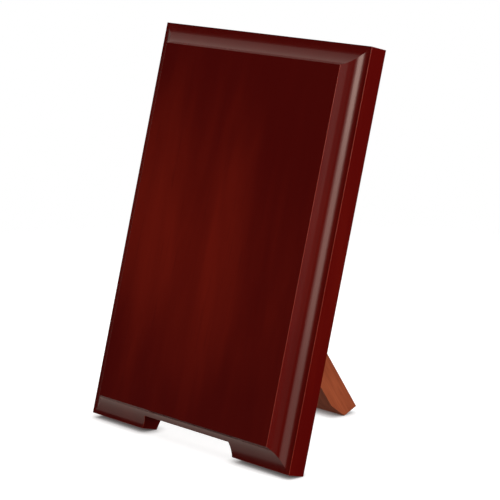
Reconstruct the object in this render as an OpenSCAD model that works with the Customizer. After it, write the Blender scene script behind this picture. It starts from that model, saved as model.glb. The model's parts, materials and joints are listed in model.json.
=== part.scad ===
// Standing award plaque: a moulded hardwood board that leans back on a folding easel leg.
// Frame: +Z up, front faces -Y, origin on the table under the middle of the whole object.

/* [Board] */
// Width of the board, left to right
board_w = 127; // [100:1:230]
// Height of the board along its own face
board_h = 178; // [150:1:305]
// Thickness of the board
board_t = 15; // [13:0.5:19]
// How far the board leans back from upright, in degrees
lean = 15; // [12:0.5:18]

/* [Cove moulding] */
// Width of the moulding, from the outer edge to the flat field
cove_w = 9.5; // [8:0.5:14]
// Depth of the moulding below the field, at the board's outer edge
cove_d = 6.4; // [5:0.2:7.6]

/* [Notch in the bottom edge] */
// Width of the notch between the two feet, at the bottom edge
notch_w = 58; // [40:1:80]
// Height of the notch
notch_h = 6; // [5:0.5:7]
// How far each side of the notch draws in towards its top
notch_draw = 2; // [0:0.5:3]

/* [Easel leg] */
// Width of the leg, left to right
leg_w = 24; // [22:0.5:30]
// Thickness of the leg
leg_d = 11.5; // [10:0.5:14]
// Angle between the back of the board and the open leg, in degrees
open_angle = 49; // [45:0.5:52]
// Height of the hinge pin along the back of the board
hinge_up = 78.4; // [60:0.2:90]
// Depth of the finger relief on the inside of the tip
relief_d = 3.4; // [2:0.2:5]
// Length of the finger relief
relief_l = 9.8; // [6:0.2:14]
// How far the end of the leg is cut off square, in degrees
end_bevel = 12; // [0:1:16]

/* [Hinge] */
// Length of the hinge along its pin
hinge_w = 20; // [18:0.5:21]
// Length of each leaf, from the pin to its free edge
leaf_l = 14; // [12:0.5:18]
// Thickness of the leaf metal
leaf_t = 1; // [0.8:0.1:1.4]
// Radius of the pin
pin_r = 1; // [0.8:0.1:1.2]
// Radius of the knuckles
knuckle_r = 2; // [1.8:0.1:2.4]

/* [Hinge screws] */
// Distance between the two screws in a leaf
screw_spacing = 11; // [9:0.5:12]
// Distance from the pin to the screws
screw_down = 8.6; // [7.5:0.2:9]
// Radius of the countersunk head
head_r = 2; // [1.8:0.1:2.2]
// Radius of the shank
shank_r = 0.95; // [0.8:0.05:1.1]
// Overall length of a screw
screw_l = 9; // [7:0.5:9.5]

/* [Hidden] */
$fn = 64;

reach = 1;            // how far a cutter runs past the wood
fit = 0.05;           // working clearance, moving metal on metal
seat = 0.02;          // clearance of fixed pieces in their seats
stop_gap = 0.1;       // hairline between the leg's mitred end and the board
pin_off = 0.25;       // the pin stands this far behind the back of the board
groove_r = knuckle_r + 0.3;
knuckle_gap = 0.15;   // side clearance between knuckles
outer_knuckle = hinge_w / 4;
inner_knuckle = hinge_w - 2 * outer_knuckle - 2 * knuckle_gap;
pin_head_r = 1.5;
pin_head_t = 0.6;
groove_l = hinge_w + 2 * pin_head_t + 1;    // the knuckles' groove, with room past the pin's heads
point_l = 2;          // length of a screw's point
point_r = 0.1;        // radius of its end
slot_l = 2.2;         // cross slot in a screw head
slot_w = 0.5;
slot_d = 0.55;

// the cove is one arc, from the edge of the field down to level at the board's outer edge
cove_r = (cove_w * cove_w + cove_d * cove_d) / (2 * cove_d);

tilt = open_angle - lean;                                  // the leg's angle from upright
pin_z = hinge_up * cos(lean) - pin_off * sin(lean);
tip_y = pin_off + relief_d;                                // the tip, in the leg's own frame
leg_l = (pin_z + tip_y * sin(tilt)) / cos(tilt);           // the tip just meets the table
heel_l = leg_l + (leg_d - relief_d) * tan(end_bevel);
leg_back = pin_off + leg_d;

// depth of the whole object, front to back, from the board's rear bottom edge
front_reach = board_t * cos(lean) - cove_w * sin(lean);
pin_y = hinge_up * sin(lean) + pin_off * cos(lean);
rear_reach = pin_y + leg_back * cos(tilt) + heel_l * sin(tilt);
board_y = (front_reach - rear_reach) / 2;

// the board's own frame: back face on y = 0, bottom edge on z = 0, front towards -y
module on_board() {
    translate([0, board_y, 0]) rotate([-lean, 0, 0]) children();
}

// the pin's frame, turned with the board
module on_pin() {
    on_board() translate([0, pin_off, hinge_up]) children();
}

// the leg's own frame: pin on the x axis, leg running down -z, back of the leg towards +y
module on_leg() {
    on_pin() rotate([open_angle, 0, 0]) children();
}

module along_x(length, r) {
    rotate([0, 90, 0]) cylinder(h = length, r = r, center = true);
}

// the cutter for one side's moulding, its edge on z = 0, the front of the board on y = -board_t
module cove_cutter(length) {
    translate([0, cove_d - board_t - cove_r, 0]) along_x(length, cove_r);
}

// the notch's cutter, wider at the bottom
module notch_cutter() {
    half_w = notch_w / 2;
    flare = notch_draw * reach / notch_h;
    rotate([90, 0, 0]) linear_extrude(height = 2 * (board_t + reach), center = true) polygon([
        [-half_w - flare, -reach],
        [half_w + flare, -reach],
        [half_w - notch_draw, notch_h],
        [notch_draw - half_w, notch_h]
    ]);
}

// a straight-walled seat for a leaf, its floor leaf_t below the face that looks along +y
module leaf_seat() {
    seat_w = hinge_w + 2 * seat;
    seat_l = leaf_l + seat;
    translate([-seat_w / 2, -leaf_t - seat, -seat_l]) cube([seat_w, leaf_t + seat + reach, seat_l]);
}

// places two things at a leaf's screw holes, looking along +y
module at_screws() {
    for (side = [-1, 1])
        translate([side * screw_spacing / 2, 0, -screw_down]) rotate([-90, 0, 0]) children();
}

// a hole for a screw, head on z = 0, shank towards -z
module screw_hole() {
    translate([0, 0, -screw_l]) cylinder(h = screw_l + reach, r = shank_r + seat);
    translate([0, 0, -leaf_t]) cylinder(h = leaf_t, r1 = shank_r + seat, r2 = head_r + seat);
    cylinder(h = reach, r = head_r + seat);
}

module cross_slot() {
    for (turn = [0, 90])
        rotate([0, 0, turn]) translate([-slot_l / 2, -slot_w / 2, -slot_d])
            cube([slot_l, slot_w, slot_d + reach]);
}

module wood_screw() {
    difference() {
        union() {
            translate([0, 0, -leaf_t]) cylinder(h = leaf_t, r1 = shank_r, r2 = head_r);
            translate([0, 0, point_l - screw_l]) cylinder(h = screw_l - point_l - leaf_t, r = shank_r);
            translate([0, 0, -screw_l]) cylinder(h = point_l, r1 = point_r, r2 = shank_r);
        }
        cross_slot();
    }
}

// a leaf, flush with the face that looks along +y; knuckles is a list of [centre, length] along x
// and gaps is the same list for the other leaf
module leaf(knuckles, gaps, bore_r, face) {
    difference() {
        union() {
            translate([-hinge_w / 2, face - leaf_t, -leaf_l]) cube([hinge_w, leaf_t, leaf_l]);
            for (k = knuckles) translate([k[0], 0, 0]) along_x(k[1], knuckle_r);
        }
        for (g = gaps) translate([g[0], 0, 0]) along_x(g[1] + 2 * knuckle_gap, knuckle_r + knuckle_gap);
        along_x(hinge_w + 2 * reach, bore_r);
        translate([0, face, 0]) at_screws() screw_hole();
    }
}

outer_knuckles = [for (side = [-1, 1]) [side * (hinge_w - outer_knuckle) / 2, outer_knuckle]];
inner_knuckles = [[0, inner_knuckle]];

module plaque_board() {
    color([0.34, 0.06, 0.04]) on_board() difference() {
        translate([-board_w / 2, -board_t, 0]) cube([board_w, board_t, board_h]);
        cove_cutter(board_w + 2 * reach);
        translate([0, 0, board_h]) mirror([0, 0, 1]) cove_cutter(board_w + 2 * reach);
        for (side = [-1, 1])
            translate([side * board_w / 2, 0, board_h / 2]) rotate([0, -side * 90, 0])
                cove_cutter(board_h + 2 * reach);
        notch_cutter();
        translate([0, 0, hinge_up]) leaf_seat();
        translate([0, pin_off, hinge_up]) along_x(groove_l, groove_r);
        translate([0, 0, hinge_up]) at_screws() screw_hole();
    }
}

// where the mitred end crosses a line y = const of the leg
function mitre_z(y) = (y * cos(open_angle) + pin_off - stop_gap) / sin(open_angle);

module easel_leg() {
    color([0.60, 0.30, 0.16]) on_leg() difference() {
        rotate([90, 0, 90]) linear_extrude(height = leg_w, center = true) polygon([
            [pin_off, mitre_z(pin_off)],
            [leg_back, mitre_z(leg_back)],
            [leg_back, -heel_l],
            [tip_y, -leg_l],
            [pin_off, -leg_l + relief_l]
        ]);
        translate([0, pin_off, 0]) mirror([0, 1, 0]) leaf_seat();
        along_x(groove_l, groove_r);
        translate([0, pin_off, 0]) mirror([0, 1, 0]) at_screws() screw_hole();
    }
}

module board_hinge_leaf() {
    color([0.72, 0.55, 0.25]) on_pin() leaf(outer_knuckles, inner_knuckles, pin_r + seat, -pin_off);
}

module leg_hinge_leaf() {
    color([0.72, 0.55, 0.25]) on_leg() mirror([0, 1, 0])
        leaf(inner_knuckles, outer_knuckles, pin_r + fit, -pin_off);
}

module hinge_pin() {
    color([0.66, 0.52, 0.28]) on_pin() {
        along_x(hinge_w + 2 * seat, pin_r);
        for (side = [-1, 1])
            translate([side * (hinge_w / 2 + seat), 0, 0]) rotate([0, side * 90, 0])
                cylinder(h = pin_head_t, r1 = pin_head_r, r2 = pin_r);
    }
}

module board_hinge_screws() {
    color([0.70, 0.58, 0.30]) on_board() translate([0, 0, hinge_up]) at_screws() wood_screw();
}

module leg_hinge_screws() {
    color([0.70, 0.58, 0.30]) on_leg() translate([0, pin_off, 0]) mirror([0, 1, 0])
        at_screws() wood_screw();
}

plaque_board();
easel_leg();
board_hinge_leaf();
leg_hinge_leaf();
hinge_pin();
board_hinge_screws();
leg_hinge_screws();
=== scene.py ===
"""A standing wooden plaque: a moulded, lacquered board on a bare wood easel leg with a brass hinge."""

import json
import math

import bmesh
import bpy
import numpy as np
from mathutils import Matrix, Vector


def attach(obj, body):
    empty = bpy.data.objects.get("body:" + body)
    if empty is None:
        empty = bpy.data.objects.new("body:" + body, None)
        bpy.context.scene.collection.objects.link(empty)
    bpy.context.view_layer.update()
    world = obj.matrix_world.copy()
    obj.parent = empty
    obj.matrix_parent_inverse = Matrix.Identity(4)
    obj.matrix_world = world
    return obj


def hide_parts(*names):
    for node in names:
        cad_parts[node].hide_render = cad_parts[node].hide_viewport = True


bl_info = {
    "name": "Standing plaque",
    "version": (1, 0, 0),
    "blender": (4, 5, 0),
    "location": "3D View > Sidebar > Plaque",
    "description": "Models a moulded plaque on its folding easel leg, with its hinge and finishes",
    "category": "Object",
}

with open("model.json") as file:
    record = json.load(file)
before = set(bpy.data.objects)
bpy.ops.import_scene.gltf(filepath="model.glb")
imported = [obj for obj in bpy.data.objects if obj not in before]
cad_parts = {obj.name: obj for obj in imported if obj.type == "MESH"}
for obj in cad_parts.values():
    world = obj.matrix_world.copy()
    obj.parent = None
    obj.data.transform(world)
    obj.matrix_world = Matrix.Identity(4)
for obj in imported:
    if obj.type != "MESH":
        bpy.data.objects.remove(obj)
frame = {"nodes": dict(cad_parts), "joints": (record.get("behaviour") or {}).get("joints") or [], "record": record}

MM = 0.001
HAIR = 0.001 * MM            # closer than this counts as touching
TOLERANCE = 0.02 * MM        # how far a point of the frame may lie from where it is looked for


# --- sizes read from the frame ---------------------------------------------------------------

def turned_points(node, turn):
    """The points of a CAD node, in axes turned about X by minus that angle, as an array."""
    back = Matrix.Rotation(-turn, 3, "X")
    return np.array([back @ v.co for v in frame["nodes"][node].data.vertices])


def board_frame():
    """The board's own axes: back face on y = 0, bottom edge on z = 0, front towards -y."""
    points = turned_points("plaque_board", -LEAN)
    corner = Vector((0, points[:, 1].max(), points[:, 2].min()))
    return Matrix.Rotation(-LEAN, 4, "X") @ Matrix.Translation(corner)


def own_points(node, place):
    """The points of a CAD node in the axes that place stands for."""
    inverse = place.inverted()
    return np.array([inverse @ v.co for v in frame["nodes"][node].data.vertices])


def near(values, wanted):
    return np.abs(values - wanted) < TOLERANCE


def board_sizes():
    """Width, height, thickness, moulding and notch of the board, from its own points."""
    p = own_points("plaque_board", ON_BOARD)
    width, thick, high = 2 * p[:, 0].max(), -p[:, 1].min(), p[:, 2].max()
    field = p[near(p[:, 1], -thick)]
    outer = p[near(p[:, 0], width / 2)]
    foot = p[near(p[:, 2], 0) & (np.abs(p[:, 0]) < 0.98 * width / 2)]
    notch_bottom = np.abs(foot[:, 0]).min()
    notch = p[(np.abs(p[:, 0]) < notch_bottom) & (p[:, 2] < field[:, 2].min() - MM)]
    notch_height = notch[:, 2].max()
    return {
        "width": width,
        "height": high,
        "thickness": thick,
        "cove_width": width / 2 - field[:, 0].max(),
        "cove_depth": thick + outer[:, 1].min(),
        "notch_bottom": notch_bottom,
        "notch_top": np.abs(notch[near(notch[:, 2], notch_height)][:, 0]).max(),
        "notch_height": notch_height,
    }


def leg_sizes():
    """The leg's side outline, from its own points: the pin is at the origin and the leg runs down."""
    p = own_points("easel_leg", ON_LEG)
    inner, back = p[:, 1].min(), p[:, 1].max()
    world = np.array([v.co for v in frame["nodes"]["easel_leg"].data.vertices])
    tip = p[world[:, 2].argmin()]
    on_inner = p[near(p[:, 1], inner) & near(np.abs(p[:, 0]), p[:, 0].max())]
    on_back = p[near(p[:, 1], back)]
    return {
        "width": 2 * p[:, 0].max(),
        "inner_top": (inner, on_inner[:, 2].max()),
        "back_top": (back, on_back[:, 2].max()),
        "heel": (back, on_back[:, 2].min()),
        "tip": (tip[1], tip[2]),
        "relief_top": (inner, on_inner[:, 2].min()),
    }


front_axis = Vector(frame["record"]["mounts"][0]["axis"])
hinge = frame["joints"][0]
LEAN = math.atan2(front_axis.z, -front_axis.y)
OPEN = math.radians(-hinge["range_deg"][0])
ON_BOARD = board_frame()
ON_PIN = Matrix.Translation(Vector(hinge["pos_m"])) @ Matrix.Rotation(-LEAN, 4, "X")
ON_LEG = Matrix.Translation(Vector(hinge["pos_m"])) @ Matrix.Rotation(OPEN - LEAN, 4, "X")
PIN_ON_BOARD = ON_BOARD.inverted() @ Vector(hinge["pos_m"])
BOARD = board_sizes()
LEG = leg_sizes()


# --- settings a user would change ------------------------------------------------------------

def length_setting(name, description, default):
    return bpy.props.FloatProperty(name=name, description=description, default=default,
                                   min=0, subtype="DISTANCE", unit="LENGTH")


def colour_setting(name, description, default):
    return bpy.props.FloatVectorProperty(name=name, description=description, default=default,
                                         size=3, min=0, max=1, subtype="COLOR")


class BoardSettings(bpy.types.PropertyGroup):
    cove_width: length_setting("Moulding width", "Outer edge to flat field", BOARD["cove_width"])
    cove_depth: length_setting("Moulding depth", "Field to outer edge", BOARD["cove_depth"])
    arris: length_setting("Arris", "Radius of the board's softened edges", 0.42 * MM)
    lacquer_dark: colour_setting("Dark figure", "Lacquered wood in its darker figure",
                                 (0.085, 0.0010, 0.0005))
    lacquer_light: colour_setting("Light figure", "Lacquered wood in its lighter figure",
                                  (0.215, 0.0100, 0.0032))


class LegSettings(bpy.types.PropertyGroup):
    arris: length_setting("Arris", "Radius of the leg's sanded edges", 0.35 * MM)
    wood_dark: colour_setting("Late wood", "Darker lines of the bare wood", (0.25, 0.048, 0.016))
    wood_light: colour_setting("Early wood", "Lighter body of the bare wood", (0.41, 0.092, 0.032))


class HingeSettings(bpy.types.PropertyGroup):
    corner: length_setting("Leaf corner", "Radius of the leaves' free corners", 1.2 * MM)
    brass: colour_setting("Brass", "Colour of the hinge", (0.72, 0.47, 0.17))


class StageSettings(bpy.types.PropertyGroup):
    azimuth: bpy.props.FloatProperty(name="Azimuth", description="Camera's turn round from the front",
                                     default=math.radians(47.05), subtype="ANGLE", unit="ROTATION")
    dip: bpy.props.FloatProperty(name="Dip", description="How far the camera looks down",
                                 default=math.radians(11.9), subtype="ANGLE", unit="ROTATION")
    distance: length_setting("Distance", "Camera to the point it looks at", 0.937)
    lens: bpy.props.FloatProperty(name="Lens", description="Focal length on a 36 mm sensor",
                                  default=159.3, unit="CAMERA")
    aim: bpy.props.FloatVectorProperty(name="Aim", description="Point the camera looks at", size=3,
                                       default=(0.0143, -0.020, 0.0853), subtype="XYZ", unit="LENGTH")


# --- modelling by hand, in small steps -------------------------------------------------------

def deselect():
    for obj in bpy.context.selected_objects:
        obj.select_set(False)


def make_active(obj):
    deselect()
    obj.select_set(True)
    bpy.context.view_layer.objects.active = obj


def add_box(name, low, high):
    """A box from its lowest to its highest corner."""
    deselect()
    low, high = Vector(low), Vector(high)
    bpy.ops.mesh.primitive_cube_add(size=1, location=(low + high) / 2, scale=high - low)
    box = bpy.context.object
    box.name = box.data.name = name
    bpy.ops.object.transform_apply(location=True, rotation=True, scale=True)
    return box


def add_rod(name, radius, start, end, sides=64):
    """A round bar along X."""
    deselect()
    bpy.ops.mesh.primitive_cylinder_add(vertices=sides, radius=radius, depth=end - start,
                                        location=((start + end) / 2, 0, 0),
                                        rotation=(0, math.pi / 2, 0))
    rod = bpy.context.object
    rod.name = rod.data.name = name
    bpy.ops.object.transform_apply(location=True, rotation=True, scale=True)
    return rod


def add_turned(name, stations, sides=48):
    """A turned solid about Z: a disc drawn out through a list of (height, radius)."""
    deselect()
    height, radius = stations[0]
    bpy.ops.mesh.primitive_circle_add(vertices=sides, radius=radius, fill_type="NGON",
                                      location=(0, 0, height))
    solid = bpy.context.object
    solid.name = solid.data.name = name
    bpy.ops.object.transform_apply(location=True, rotation=True, scale=True)
    bpy.ops.object.mode_set(mode="EDIT")
    for next_height, next_radius in stations[1:]:
        bpy.ops.mesh.extrude_region_move(
            TRANSFORM_OT_translate={"value": (0, 0, next_height - height)})
        bpy.ops.transform.resize(value=(next_radius / radius, next_radius / radius, 1),
                                 center_override=(0, 0, next_height))
        height, radius = next_height, next_radius
    bpy.ops.mesh.select_all(action="SELECT")
    bpy.ops.mesh.normals_make_consistent(inside=False)
    bpy.ops.object.mode_set(mode="OBJECT")
    return solid


def edit(obj, mode):
    """Opens an object in edit mode with nothing selected."""
    make_active(obj)
    bpy.ops.object.mode_set(mode="EDIT")
    bpy.ops.mesh.select_mode(type=mode)
    bpy.ops.mesh.select_all(action="DESELECT")
    return bmesh.from_edit_mesh(obj.data)


def finish_edit(obj):
    bmesh.update_edit_mesh(obj.data)
    bpy.ops.object.mode_set(mode="OBJECT")


def pick_faces(obj, mesh, test):
    for face in mesh.faces:
        face.select_set(bool(test(face)))
    bmesh.update_edit_mesh(obj.data)


def pick_edges(obj, mesh, test):
    for edge in mesh.edges:
        edge.select_set(bool(test(edge)))
    bmesh.update_edit_mesh(obj.data)


def is_sharp(edge, degrees=35):
    return len(edge.link_faces) == 2 and math.degrees(edge.calc_face_angle(0)) > degrees


def cut_away(obj, *cutters):
    """Takes the cutters out of an object, one after another."""
    combine(obj, "DIFFERENCE", cutters)


def join_on(obj, *others):
    combine(obj, "UNION", others)


def combine(obj, operation, others):
    for other in others:
        make_active(obj)
        step = obj.modifiers.new("combine", "BOOLEAN")
        step.operation, step.object, step.solver = operation, other, "EXACT"
        bpy.ops.object.modifier_apply(modifier=step.name)
        bpy.data.objects.remove(other)
    mesh = edit(obj, "FACE")
    bmesh.ops.remove_doubles(mesh, verts=mesh.verts, dist=HAIR)
    finish_edit(obj)


def soften(obj, radius, segments, test, mask=None):
    """Rounds the chosen edges, and marks the new faces in a face attribute named by mask."""
    mesh = edit(obj, "EDGE")
    pick_edges(obj, mesh, test)
    bpy.ops.mesh.bevel(offset=radius, segments=segments, profile=0.5, affect="EDGES",
                       clamp_overlap=True)
    bpy.ops.object.mode_set(mode="OBJECT")
    if mask:
        rounded = [f.select and width_of(obj, f) < radius for f in obj.data.polygons]
        layer = obj.data.attributes.new(mask, "FLOAT", "FACE")
        layer.data.foreach_set("value", np.array(rounded, np.float32))


def width_of(obj, face):
    """The mean width of a long face."""
    corners = [obj.data.vertices[v].co for v in face.vertices]
    around = sum((b - a).length for a, b in zip(corners, corners[1:] + corners[:1]))
    return 2 * face.area / around


def smooth(obj, degrees=30):
    """Smooth shading on which the large flat faces stay flat."""
    make_active(obj)
    bpy.ops.object.shade_smooth_by_angle(angle=math.radians(degrees))
    step = obj.modifiers.new("flat_faces", "WEIGHTED_NORMAL")
    step.weight, step.keep_sharp = 100, True
    bpy.ops.object.modifier_apply(modifier=step.name)


def put_in_place(obj, place):
    """Moves a finished piece from its own axes to its place, and leaves its object at the origin."""
    make_active(obj)
    obj.matrix_world = place
    bpy.ops.object.transform_apply(location=True, rotation=True, scale=True)


def finish_piece(obj, place, body, nodes, material):
    put_in_place(obj, place)
    obj.data.materials.clear()
    obj.data.materials.append(material)
    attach(obj, body)
    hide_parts(*nodes)


# --- shader maths ----------------------------------------------------------------------------

class Wire:
    """A socket, so that shader maths reads as a Python expression."""

    def __init__(self, finish, socket):
        self.finish, self.socket = finish, socket

    def maths(self, operation, first, second):
        node = self.finish.node("ShaderNodeMath", {"operation": operation}, {0: first, 1: second})
        return Wire(self.finish, node.outputs[0])

    def __add__(self, other):
        return self.maths("ADD", self, other)

    def __mul__(self, other):
        return self.maths("MULTIPLY", self, other)

    __radd__ = __add__
    __rmul__ = __mul__


class Finish:
    """A material under construction."""

    def __init__(self, name, turn=0.0):
        self.material = bpy.data.materials.new(name)
        self.material.use_nodes = True
        self.tree = self.material.node_tree
        self.shader = next(n for n in self.tree.nodes if n.type == "BSDF_PRINCIPLED")
        place = self.node("ShaderNodeTexCoord", {}, {})
        turned = self.node("ShaderNodeMapping", {}, {"Vector": Wire(self, place.outputs["Object"]),
                                                     "Rotation": (turn, 0, 0)})
        self.here = Wire(self, turned.outputs[0])

    def node(self, kind, settings, values):
        made = self.tree.nodes.new(kind)
        for name, value in settings.items():
            setattr(made, name, value)
        for name, value in values.items():
            self.feed(made.inputs[name], value)
        return made

    def feed(self, socket, value):
        if isinstance(value, Wire):
            self.tree.links.new(value.socket, socket)
        else:
            socket.default_value = value

    def stretched(self, x, y, z):
        """The piece's own coordinates, multiplied along each axis."""
        node = self.node("ShaderNodeVectorMath", {"operation": "MULTIPLY"},
                         {0: self.here, 1: (x, y, z)})
        return Wire(self, node.outputs[0])

    def noise(self, where, scale, detail=3.0, rough=0.5, warp=0.0):
        node = self.node("ShaderNodeTexNoise", {}, {"Vector": where, "Scale": scale, "Detail": detail,
                                                    "Roughness": rough, "Distortion": warp})
        return Wire(self, node.outputs[0])

    def spread(self, value, low, high, to_low=0.0, to_high=1.0):
        """Stretches a value's low to high over a new range, and holds it there outside."""
        node = self.node("ShaderNodeMapRange", {"interpolation_type": "SMOOTHSTEP"},
                         {"Value": value, "From Min": low, "From Max": high,
                          "To Min": to_low, "To Max": to_high})
        return Wire(self, node.outputs[0])

    def mask(self, name):
        node = self.node("ShaderNodeAttribute", {"attribute_name": name}, {})
        return Wire(self, node.outputs["Fac"])

    def blend(self, share, first, second, mode="MIX"):
        """Mixes two colours."""
        node = self.node("ShaderNodeMix", {"data_type": "RGBA", "blend_type": mode}, {})
        self.feed(node.inputs[0], share)
        for index, value in ((6, first), (7, second)):
            self.feed(node.inputs[index], value if isinstance(value, Wire) else (*value, 1))
        return Wire(self, node.outputs[2])

    def bump(self, height, strength, distance):
        node = self.node("ShaderNodeBump", {}, {"Height": height, "Strength": strength,
                                                "Distance": distance})
        return Wire(self, node.outputs[0])

    def set(self, **values):
        names = {"colour": "Base Color", "rough": "Roughness", "metal": "Metallic",
                 "coat": "Coat Weight", "coat_rough": "Coat Roughness", "ior": "IOR",
                 "specular": "Specular IOR Level", "normal": "Normal"}
        for name, value in values.items():
            if name == "colour" and not isinstance(value, Wire):
                value = (*value, 1)
            self.feed(self.shader.inputs[names[name]], value)
        return self.material


PORE = (0.085, 0.0016, 0.0008)
# painted highlight: the light orange-red laid on the board's rounded edges in place of their gleam
EDGE_HIGHLIGHT_COLOUR = (0.55, 0.060, 0.030)
GLOSS_TINT = (1, 0.22, 0.10, 1)
DARK_FIBRE = (0.15, 0.028, 0.009)


def lacquered_mahogany(settings):
    """Fine straight grain under a satin-gloss clear lacquer, warmest left of the board's middle, with a painted
    highlight along the rounded edges.
    """
    finish = Finish("lacquered_mahogany", LEAN)
    figure = finish.noise(finish.stretched(1, 1, 0.16), 70, 4, 0.55, 0.4)
    cloud = finish.noise(finish.stretched(1, 1, 0.5), 14, 2, 0.5)
    pores = finish.noise(finish.stretched(1, 1, 0.035), 900, 2, 0.6)
    heart = finish.node("ShaderNodeVectorMath", {"operation": "DISTANCE"},
                        {0: finish.stretched(1, 1, 0.9),
                         1: (-0.22 * BOARD["width"], 0, 0.4 * BOARD["height"])})
    warmth = finish.spread(Wire(finish, heart.outputs["Value"]), 0.1 * BOARD["width"],
                           0.8 * BOARD["width"], 1.0, 0.0)
    tone = finish.spread(figure * 0.35 + cloud * 0.25 + warmth * 0.4, 0.26, 0.74)
    colour = finish.blend(tone, settings.lacquer_dark, settings.lacquer_light)
    pore = finish.spread(pores, 0.60, 0.74)
    colour = finish.blend(pore * 0.45, colour, PORE)
    # painted highlight: the rounded edges, marked by the arris attribute, are lightened towards a light orange-red
    edge_highlight = finish.mask("arris")
    colour = finish.blend(edge_highlight * 0.35, colour, EDGE_HIGHLIGHT_COLOUR)
    ripple = finish.noise(finish.here, 260, 2, 0.5)
    normal = finish.bump(ripple * 0.7 + pores * 0.3, 0.16, 0.05 * MM)
    finish.shader.inputs["Specular Tint"].default_value = GLOSS_TINT
    return finish.set(colour=colour, rough=finish.spread(cloud, 0.3, 0.7, 0.46, 0.54),
                      specular=0.08, coat=0.95, coat_rough=0.17, normal=normal)


def bare_wood(settings):
    """Open straight grain down the leg, stained and unlacquered."""
    finish = Finish("bare_wood", LEAN - OPEN)
    bands = finish.noise(finish.stretched(1, 0.6, 0.05), 420, 3, 0.6, 0.8)
    fibre = finish.noise(finish.stretched(1, 1, 0.04), 1900, 3, 0.6)
    patch = finish.noise(finish.stretched(1, 1, 0.4), 45, 2, 0.5)
    tone = finish.spread(bands * 0.6 + patch * 0.4, 0.36, 0.64)
    colour = finish.blend(tone, settings.wood_dark, settings.wood_light)
    colour = finish.blend(finish.spread(fibre, 0.56, 0.78) * 0.5, colour, DARK_FIBRE)
    normal = finish.bump(fibre * 0.6 + bands * 0.4, 0.5, 0.12 * MM)
    return finish.set(colour=colour, rough=finish.spread(fibre, 0.3, 0.7, 0.55, 0.74),
                      specular=0.35, normal=normal)


def brass(name, colour, rough):
    """Satin brass with fine brushing along the pin."""
    finish = Finish(name, LEAN)
    brushing = finish.noise(finish.stretched(0.06, 1, 1), 5200, 2, 0.6)
    stain = finish.noise(finish.here, 320, 3, 0.6)
    tarnish = finish.spread(stain, 0.48, 0.75)
    tint = finish.blend(tarnish * 0.5, colour, [0.55 * c for c in colour])
    return finish.set(colour=tint, metal=1.0, normal=finish.bump(brushing, 0.2, 0.01 * MM),
                      rough=finish.spread(brushing, 0.3, 0.7, rough, rough + 0.12) + tarnish * 0.12)


# --- the board -------------------------------------------------------------------------------

COVE_STEPS = 20
CUT_PAST = 2 * MM            # how far a cutter runs past the wood or metal
SEAT_CLEAR = 0.02 * MM       # round a fixed piece in its seat
GROOVE_CLEAR = 0.3 * MM      # round the knuckles in their groove
GROOVE_END = 0.5 * MM        # past each end of the pin


def raise_cove(obj, width, depth):
    """Draws the front face in and forward along one arc that starts level at the outer edge."""
    radius = (width ** 2 + depth ** 2) / (2 * depth)
    whole = math.acos(1 - depth / radius)
    mesh = edit(obj, "FACE")
    pick_faces(obj, mesh, lambda f: f.normal.y < -0.9)
    for step in range(COVE_STEPS):
        here, there = (whole * (step + k) / COVE_STEPS for k in (0, 1))
        bpy.ops.mesh.inset(thickness=radius * (math.sin(there) - math.sin(here)),
                           depth=radius * (math.cos(here) - math.cos(there)), use_even_offset=True)
    bpy.ops.object.mode_set(mode="OBJECT")


def on_mitre(edge):
    """On one of the four lines where the mouldings of two sides meet."""
    def miss(point):
        from_side = BOARD["width"] / 2 - abs(point.x)
        return abs(from_side - min(point.z, BOARD["height"] - point.z))

    first, second = (v.co for v in edge.verts)
    return abs(first.x - second.x) > TOLERANCE and max(miss(first), miss(second)) < TOLERANCE


def notch_cutter():
    """A box as wide as the foot of the notch, drawn in towards its top."""
    high = BOARD["notch_height"]
    half = BOARD["notch_bottom"] + (BOARD["notch_bottom"] - BOARD["notch_top"]) / high * CUT_PAST
    notch = add_box("notch", (-half, -BOARD["thickness"] - CUT_PAST, -CUT_PAST),
                    (half, CUT_PAST, high))
    mesh = edit(notch, "FACE")
    pick_faces(notch, mesh, lambda f: f.normal.z > 0.9)
    bpy.ops.transform.resize(value=(BOARD["notch_top"] / half, 1, 1), center_override=(0, 0, high))
    bpy.ops.object.mode_set(mode="OBJECT")
    return notch


def crease(obj, test):
    """Keeps the shading crisp along the chosen edges."""
    mesh = edit(obj, "EDGE")
    pick_edges(obj, mesh, test)
    bpy.ops.mesh.mark_sharp()
    bpy.ops.object.mode_set(mode="OBJECT")


def hinge_seat(name, to_pin, facing):
    """Cutters for the leaf's seat and the knuckles' groove. facing is +1 or -1 along y."""
    leaf = own_points("board_hinge_leaf", ON_PIN)
    half, low = leaf[:, 0].max() + SEAT_CLEAR, leaf[:, 2].min() - SEAT_CLEAR
    floor = (HINGE["pin_off"] + HINGE["leaf_t"] + SEAT_CLEAR) * -facing
    open_side = CUT_PAST * facing
    seat = add_box(name + "_seat", (-half, min(floor, open_side), low),
                   (half, max(floor, open_side), 0))
    end = half + HINGE["head_t"] + GROOVE_END
    groove = add_rod(name + "_groove", HINGE["knuckle_r"] + GROOVE_CLEAR, -end, end)
    for cutter in (seat, groove):
        put_in_place(cutter, Matrix.Translation(to_pin))
    return seat, groove


class PLAQUE_OT_board(bpy.types.Operator):
    """Model the moulded board with its notch and the hinge seat in its back"""
    bl_idname = "plaque.board"
    bl_label = "Board"

    def execute(self, context):
        settings = context.scene.plaque_board
        wide, high, thick = BOARD["width"], BOARD["height"], BOARD["thickness"]
        board = add_box("board", (-wide / 2, settings.cove_depth - thick, 0), (wide / 2, 0, high))
        raise_cove(board, settings.cove_width, settings.cove_depth)
        cut_away(board, notch_cutter(), *hinge_seat("board", PIN_ON_BOARD, 1))
        # the arris attribute marks the rounded faces that carry the board's painted edge highlight
        soften(board, settings.arris, 3, lambda e: is_sharp(e) and not on_mitre(e), "arris")
        crease(board, on_mitre)
        smooth(board)
        finish_piece(board, ON_BOARD, "board", ["plaque_board"],
                     lacquered_mahogany(settings))
        return {"FINISHED"}


# --- the leg ---------------------------------------------------------------------------------

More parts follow.
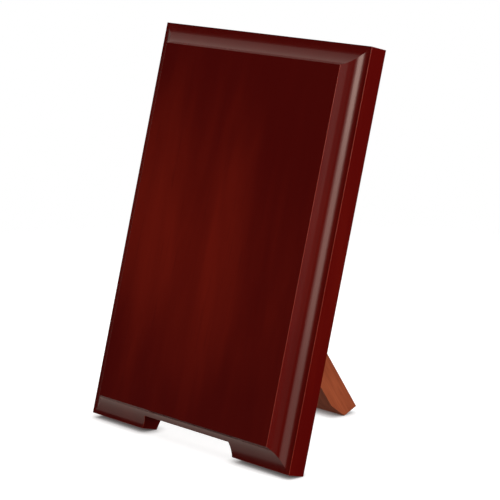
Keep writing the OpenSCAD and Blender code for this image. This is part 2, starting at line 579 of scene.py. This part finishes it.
def saw(obj, first, second):
    """Saws an object along a line of its side outline, and drops what lies left of first to second."""
    run = Vector((0, second[0] - first[0], second[1] - first[1])).normalized()
    make_active(obj)
    bpy.ops.object.mode_set(mode="EDIT")
    bpy.ops.mesh.select_all(action="SELECT")
    bpy.ops.mesh.bisect(plane_co=(0, *first), plane_no=(0, run.z, -run.y), use_fill=True,
                        clear_outer=True)
    bpy.ops.object.mode_set(mode="OBJECT")


class PLAQUE_OT_leg(bpy.types.Operator):
    """Model the easel leg with its mitred top, finger relief and bevelled end"""
    bl_idname = "plaque.leg"
    bl_label = "Easel leg"

    def execute(self, context):
        settings = context.scene.plaque_leg
        half = LEG["width"] / 2
        leg = add_box("leg", (-half, LEG["inner_top"][0], LEG["heel"][1] - CUT_PAST),
                      (half, LEG["back_top"][0], LEG["back_top"][1] + CUT_PAST))
        saw(leg, LEG["back_top"], LEG["inner_top"])
        saw(leg, LEG["relief_top"], LEG["tip"])
        saw(leg, LEG["tip"], LEG["heel"])
        cut_away(leg, *hinge_seat("leg", Vector((0, 0, 0)), -1))
        soften(leg, settings.arris, 3, is_sharp, "arris")
        smooth(leg)
        finish_piece(leg, ON_LEG, "leg", ["easel_leg"], bare_wood(settings))
        return {"FINISHED"}


# --- the hinge -------------------------------------------------------------------------------

def hinge_sizes():
    """Sizes of the leaves, knuckles and pin, from their own points about the pin."""
    outer = own_points("board_hinge_leaf", ON_PIN)
    inner = own_points("leg_hinge_leaf", ON_LEG)
    pin = own_points("hinge_pin", ON_PIN)
    screws = own_points("board_hinge_screws", ON_PIN)
    knuckle = inner[inner[:, 2] > 0]
    gaps = outer[outer[:, 2] > 0]
    heads = screws[near(screws[:, 1], screws[:, 1].max())]
    right = heads[heads[:, 0] > 0]
    free_edge = outer[near(outer[:, 2], outer[:, 2].min())]
    return {
        "half": outer[:, 0].max(),
        "length": -outer[:, 2].min(),
        "knuckle_r": outer[:, 2].max(),
        "inner_half": knuckle[:, 0].max(),
        "outer_start": np.abs(gaps[:, 0]).min(),
        "pin_off": -free_edge[:, 1].max(),
        "leaf_t": free_edge[:, 1].max() - free_edge[:, 1].min(),
        "pin_half": pin[:, 0].max(),
        "pin_head_r": pin[:, 2].max(),
        "head_t": pin[:, 0].max() - outer[:, 0].max(),
        "screw_x": (right[:, 0].max() + right[:, 0].min()) / 2,
        "screw_z": (right[:, 2].max() + right[:, 2].min()) / 2,
        "screw_head_r": (right[:, 0].max() - right[:, 0].min()) / 2,
        "screw_l": screws[:, 1].max() - screws[:, 1].min(),
    }


HINGE = hinge_sizes()
PIN_R = 1.0 * MM
SHANK_R = 0.95 * MM
RUN_CLEAR = 0.05 * MM        # between the pin and a knuckle's bore
LEAF_ARRIS = 0.08 * MM
SLOT_LENGTH, SLOT_WIDTH, SLOT_DEPTH = 2.2 * MM, 0.5 * MM, 0.55 * MM


def screw_places():
    """Where the two screws of a leaf stand: heads flush with its face, shanks into the wood."""
    upright = Matrix.Rotation(-math.pi / 2, 4, "X")
    return [Matrix.Translation((side * HINGE["screw_x"], -HINGE["pin_off"], HINGE["screw_z"])) @ upright
            for side in (-1, 1)]


def leaf(name, knuckles, gaps, corner):
    """A leaf below the pin, its face towards +y, with knuckles and gaps as lists of (start, end)."""
    face, half = -HINGE["pin_off"], HINGE["half"]
    plate = add_box(name, (-half, face - HINGE["leaf_t"], -HINGE["length"]), (half, face, 0))
    soften(plate, corner, 5, lambda e: all(v.co.z < -HINGE["length"] / 2 for v in e.verts)
           and abs(e.verts[0].co.x - e.verts[1].co.x) < HAIR
           and abs(e.verts[0].co.z - e.verts[1].co.z) < HAIR)
    radius = HINGE["knuckle_r"]
    join_on(plate, *[add_rod("knuckle", radius, start, end) for start, end in knuckles])
    side = HINGE["outer_start"] - HINGE["inner_half"]
    cutters = [add_rod("gap", radius + side, start - side, end + side) for start, end in gaps]
    cutters.append(add_rod("bore", PIN_R + RUN_CLEAR, -half - CUT_PAST, half + CUT_PAST))
    for place in screw_places():
        hole = add_turned("hole", [(-2 * HINGE["leaf_t"], SHANK_R * 1.02),
                                   (-HINGE["leaf_t"], SHANK_R * 1.02),
                                   (0, HINGE["screw_head_r"] * 1.01),
                                   (CUT_PAST, HINGE["screw_head_r"] * 1.01)])
        put_in_place(hole, place)
        cutters.append(hole)
    cut_away(plate, *cutters)
    soften(plate, LEAF_ARRIS, 2, lambda e: is_sharp(e, 50))
    smooth(plate)
    return plate


class PLAQUE_OT_hinge_leaves(bpy.types.Operator):
    """Model the two hinge leaves, one in the board and one in the leg"""
    bl_idname = "plaque.hinge_leaves"
    bl_label = "Hinge leaves"

    def execute(self, context):
        settings = context.scene.plaque_hinge
        finish = brass("satin_brass", settings.brass, 0.24)
        inner = [(-HINGE["inner_half"], HINGE["inner_half"])]
        outer = [(-HINGE["half"], -HINGE["outer_start"]), (HINGE["outer_start"], HINGE["half"])]
        in_board = leaf("hinge_leaf_in_board", outer, inner, settings.corner)
        finish_piece(in_board, ON_PIN, "board", ["board_hinge_leaf"], finish)
        in_leg = leaf("hinge_leaf_in_leg", inner, outer, settings.corner)
        put_in_place(in_leg, Matrix.Rotation(math.pi, 4, "Z"))
        finish_piece(in_leg, ON_LEG, "leg", ["leg_hinge_leaf"], finish)
        return {"FINISHED"}


class PLAQUE_OT_hinge_pin(bpy.types.Operator):
    """Model the hinge pin with its two peened ends"""
    bl_idname = "plaque.hinge_pin"
    bl_label = "Hinge pin"

    def execute(self, context):
        settings = context.scene.plaque_hinge
        end, shoulder = HINGE["pin_half"], HINGE["half"] + SEAT_CLEAR
        head_t = end - shoulder
        dome = [(shoulder, HINGE["pin_head_r"])]
        dome += [(shoulder + head_t * math.sin(a), HINGE["pin_head_r"] * (0.35 + 0.65 * math.cos(a)))
                 for a in (math.radians(15 * k) for k in range(1, 7))]
        shaft = [(HAIR - shoulder, PIN_R), (shoulder - HAIR, PIN_R)]
        stations = [(-h, r) for h, r in reversed(dome)] + shaft + dome
        pin = add_turned("pin", stations)
        put_in_place(pin, Matrix.Rotation(math.pi / 2, 4, "Y"))
        smooth(pin, 40)
        finish_piece(pin, ON_PIN, "board", ["hinge_pin"],
                     brass("pin_brass", settings.brass, 0.2))
        return {"FINISHED"}


# --- the screws ------------------------------------------------------------------------------

def wood_screw(name):
    """A countersunk screw about Z, head on z = 0, with its thread as turned ridges."""
    depth, tip = HINGE["leaf_t"], -HINGE["screw_l"]
    taper, pitch = 2.0 * MM, 0.6 * MM
    root = 0.72 * SHANK_R
    stations = [(tip, 0.08 * MM)]
    height = tip + pitch
    while height < -depth - 2 * pitch:
        swell = min(1.0, (height - tip) / taper)
        stations += [(height, root * swell), (height + 0.4 * pitch, SHANK_R * swell),
                     (height + 0.6 * pitch, SHANK_R * swell)]
        height += pitch
    stations += [(-depth, SHANK_R), (-0.12 * MM, HINGE["screw_head_r"] - 0.03 * MM),
                 (0, HINGE["screw_head_r"] - 0.1 * MM)]
    screw = add_turned(name, stations, 40)
    for turn in (0, math.pi / 2):
        slot = add_box("slot", (-SLOT_LENGTH / 2, -SLOT_WIDTH / 2, -SLOT_DEPTH),
                       (SLOT_LENGTH / 2, SLOT_WIDTH / 2, CUT_PAST))
        taper_slot(slot)
        put_in_place(slot, Matrix.Rotation(turn, 4, "Z"))
        cut_away(screw, slot)
    smooth(screw, 35)
    return screw


SLOT_LIE = {"left": 0.35, "right": 1.1}    # how far each screw's slots are turned, in radians


def taper_slot(slot):
    """Draws in the slot's floor, as a driver's bit has it."""
    mesh = edit(slot, "FACE")
    pick_faces(slot, mesh, lambda f: f.normal.z < -0.9)
    bpy.ops.transform.resize(value=(0.55, 0.7, 1), center_override=(0, 0, -SLOT_DEPTH))
    bpy.ops.object.mode_set(mode="OBJECT")


class PLAQUE_OT_screws(bpy.types.Operator):
    """Model the countersunk hinge screws, two in the board and two in the leg"""
    bl_idname = "plaque.screws"
    bl_label = "Hinge screws"

    def execute(self, context):
        settings = context.scene.plaque_hinge
        finish = brass("screw_brass", settings.brass, 0.16)
        turn_round = Matrix.Rotation(math.pi, 4, "Z")
        for body, node, place in (("board", "board_hinge_screws", ON_PIN),
                                  ("leg", "leg_hinge_screws", ON_LEG @ turn_round)):
            for side, seat in zip(("left", "right"), screw_places()):
                screw = wood_screw(f"{body}_screw_{side}")
                put_in_place(screw, Matrix.Rotation(SLOT_LIE[side], 4, "Z"))
                finish_piece(screw, place @ seat, body, [node], finish)
        return {"FINISHED"}


# --- the stage -------------------------------------------------------------------------------

LAMP_AIM = 0.09              # height of the point that the lamps face
WARM = (1.0, 0.80, 0.70)     # the colour of the lamps that show in the gloss
FLOOR_RADIUS = 0.5
FLOOR_FADE = (0.22, 0.48)    # where the floor starts and ends its fade into the white
FLOOR_GLOW = 0.9
# painted contact shadow: how far the darkening laid into the floor's glow reaches from the object
CONTACT_SHADOW_REACH = 5 * MM       # how far the dark crease under the object spreads


def soft_light(name, towards, distance, size, radiance, seen_in_gloss=True, lights_matt=True):
    """A softbox as bright as a given radiance, aimed at the plaque from an azimuth and elevation."""
    turn, rise = (math.radians(angle) for angle in towards)
    way = Vector((math.sin(turn) * math.cos(rise), -math.cos(turn) * math.cos(rise), math.sin(rise)))
    deselect()
    bpy.ops.object.light_add(type="AREA", location=Vector((0, 0, LAMP_AIM)) + way * distance,
                             rotation=way.to_track_quat("Z", "Y").to_euler())
    box = bpy.context.object
    box.name = name
    box.data.shape, box.data.size, box.data.size_y = "RECTANGLE", size[0], size[1]
    box.data.energy = radiance * math.pi * size[0] * size[1]
    if seen_in_gloss:
        box.data.color = WARM
    box.visible_camera = False
    box.visible_glossy, box.visible_diffuse = seen_in_gloss, lights_matt


def pale_floor():
    """A glowing white sweep with a painted contact shadow in the creases under an object, that fades into the
    white.
    """
    finish = Finish("pale_floor")
    cloth = finish.noise(finish.here, 3, 2, 0.5)
    white = finish.blend(cloth, (0.93, 0.93, 0.93), (0.95, 0.95, 0.95))
    # painted contact shadow: ambient occlusion darkens the floor's glow near the object
    crease = finish.node("ShaderNodeAmbientOcclusion", {"samples": 8},
                         {"Color": white, "Distance": CONTACT_SHADOW_REACH})
    reach = finish.node("ShaderNodeVectorMath", {"operation": "LENGTH"}, {0: finish.here})
    finish.feed(finish.shader.inputs["Alpha"],
                finish.spread(Wire(finish, reach.outputs["Value"]), *FLOOR_FADE, 1.0, 0.0))
    finish.feed(finish.shader.inputs["Emission Color"], Wire(finish, crease.outputs["Color"]))
    finish.feed(finish.shader.inputs["Emission Strength"], FLOOR_GLOW)
    return finish.set(colour=(0.5, 0.5, 0.5), rough=0.9, specular=0.0)


def light_world():
    """White to the eye, dim on matt surfaces and dimmer in gloss, so the lamps shape the object."""
    world = bpy.data.worlds.new("studio")
    bpy.context.scene.world = world
    world.use_nodes = True
    tree = world.node_tree
    tree.nodes.clear()
    path, out = tree.nodes.new("ShaderNodeLightPath"), tree.nodes.new("ShaderNodeOutputWorld")
    glow = tree.nodes.new("ShaderNodeBackground")
    glow.inputs["Color"].default_value = (1, 1, 1, 1)
    level = None
    for seen_by, strength in (("Is Camera Ray", 1.0), ("Is Diffuse Ray", 0.15),
                              ("Is Glossy Ray", 0.01)):
        share = tree.nodes.new("ShaderNodeMath")
        share.operation = "MULTIPLY_ADD"
        share.inputs[1].default_value, share.inputs[2].default_value = strength, 0
        tree.links.new(path.outputs[seen_by], share.inputs[0])
        if level:
            tree.links.new(level.outputs[0], share.inputs[2])
        level = share
    tree.links.new(level.outputs[0], glow.inputs["Strength"])
    tree.links.new(glow.outputs[0], out.inputs[0])


class PLAQUE_OT_camera(bpy.types.Operator):
    """Set up the camera"""
    bl_idname = "plaque.camera"
    bl_label = "Camera"

    def execute(self, context):
        settings = context.scene.plaque_stage
        eye = bpy.data.objects.new("camera", bpy.data.cameras.new("camera"))
        context.scene.collection.objects.link(eye)
        dip, turn = settings.dip, settings.azimuth
        back = Vector((math.sin(turn) * math.cos(dip), -math.cos(turn) * math.cos(dip), math.sin(dip)))
        eye.location = Vector(settings.aim) + back * settings.distance
        eye.rotation_euler = (-back).to_track_quat("-Z", "Y").to_euler()
        eye.data.sensor_width, eye.data.lens = 36, settings.lens
        eye.data.clip_start, eye.data.clip_end = 0.01, 20
        context.scene.camera = eye
        return {"FINISHED"}


class PLAQUE_OT_stage(bpy.types.Operator):
    """Set up the pale floor and the studio lamps"""
    bl_idname = "plaque.stage"
    bl_label = "Stage"

    def execute(self, context):
        deselect()
        bpy.ops.mesh.primitive_circle_add(vertices=96, radius=FLOOR_RADIUS, fill_type="NGON")
        floor = context.object
        floor.name = "floor"
        floor.data.materials.append(pale_floor())
        floor.visible_glossy = floor.visible_diffuse = floor.visible_shadow = False
        soft_light("overhead", (60, 74), 1.3, (1.2, 1.2), 2.2, seen_in_gloss=False)
        soft_light("key_low", (8, 17), 1.0, (0.64, 0.75), 1.15, lights_matt=False)
        soft_light("key_middle", (7, 24), 1.0, (0.42, 0.52), 1.9, lights_matt=False)
        soft_light("key_high", (7, 30), 1.0, (0.36, 0.38), 3.6)
        soft_light("right_fill", (95, 12), 0.8, (0.8, 0.8), 3.2, seen_in_gloss=False)
        soft_light("right_gleam", (92, 22), 0.8, (0.9, 0.7), 0.24, lights_matt=False)
        soft_light("right_gleam_high", (84, 30), 0.8, (0.7, 0.7), 0.3, lights_matt=False)
        soft_light("right_turn", (52, 18), 0.8, (0.36, 0.8), 0.18, lights_matt=False)
        soft_light("left_high", (-108, 36), 0.9, (0.95, 0.7), 0.5)
        soft_light("left_low", (-97, 2), 0.9, (0.5, 0.7), 0.35, lights_matt=False)
        soft_light("bounce_card", (-67, -38), 0.55, (0.45, 0.4), 0.5, lights_matt=False)
        soft_light("table_glow", (-30, -40), 0.6, (0.6, 0.5), 0.6, seen_in_gloss=False)
        light_world()
        view = context.scene.view_settings
        view.view_transform, view.look, view.exposure = "Standard", "None", 0
        return {"FINISHED"}


# --- the panel and the run -------------------------------------------------------------------

class PLAQUE_PT_panel(bpy.types.Panel):
    """Every piece of the plaque, with its settings"""
    bl_idname = "PLAQUE_PT_panel"
    bl_label = "Standing plaque"
    bl_space_type = "VIEW_3D"
    bl_region_type = "UI"
    bl_category = "Plaque"

    def draw(self, context):
        scene = context.scene
        groups = (
            (scene.plaque_board, ("cove_width", "cove_depth", "arris", "lacquer_dark",
                                  "lacquer_light"), ("plaque.board",)),
            (scene.plaque_leg, ("arris", "wood_dark", "wood_light"), ("plaque.leg",)),
            (scene.plaque_hinge, ("corner", "brass"),
             ("plaque.hinge_leaves", "plaque.hinge_pin", "plaque.screws")),
            (scene.plaque_stage, ("azimuth", "dip", "distance", "lens", "aim"),
             ("plaque.camera", "plaque.stage")),
        )
        for settings, names, operators in groups:
            box = self.layout.box()
            for name in names:
                box.prop(settings, name)
            for operator in operators:
                box.operator(operator)


SETTINGS = {
    "plaque_board": BoardSettings,
    "plaque_leg": LegSettings,
    "plaque_hinge": HingeSettings,
    "plaque_stage": StageSettings,
}
OPERATORS = (PLAQUE_OT_camera, PLAQUE_OT_board, PLAQUE_OT_leg, PLAQUE_OT_hinge_leaves,
             PLAQUE_OT_hinge_pin, PLAQUE_OT_screws, PLAQUE_OT_stage)


def register():
    for cls in (*SETTINGS.values(), *OPERATORS, PLAQUE_PT_panel):
        bpy.utils.register_class(cls)
    for name, cls in SETTINGS.items():
        setattr(bpy.types.Scene, name, bpy.props.PointerProperty(type=cls))


def unregister():
    for name in SETTINGS:
        delattr(bpy.types.Scene, name)
    for cls in (PLAQUE_PT_panel, *reversed(OPERATORS), *SETTINGS.values()):
        bpy.utils.unregister_class(cls)


def main():
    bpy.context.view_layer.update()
    register()
    for operator in OPERATORS:
        group, name = operator.bl_idname.split(".")
        getattr(getattr(bpy.ops, group), name)()


if __name__ == "__main__":
    main()
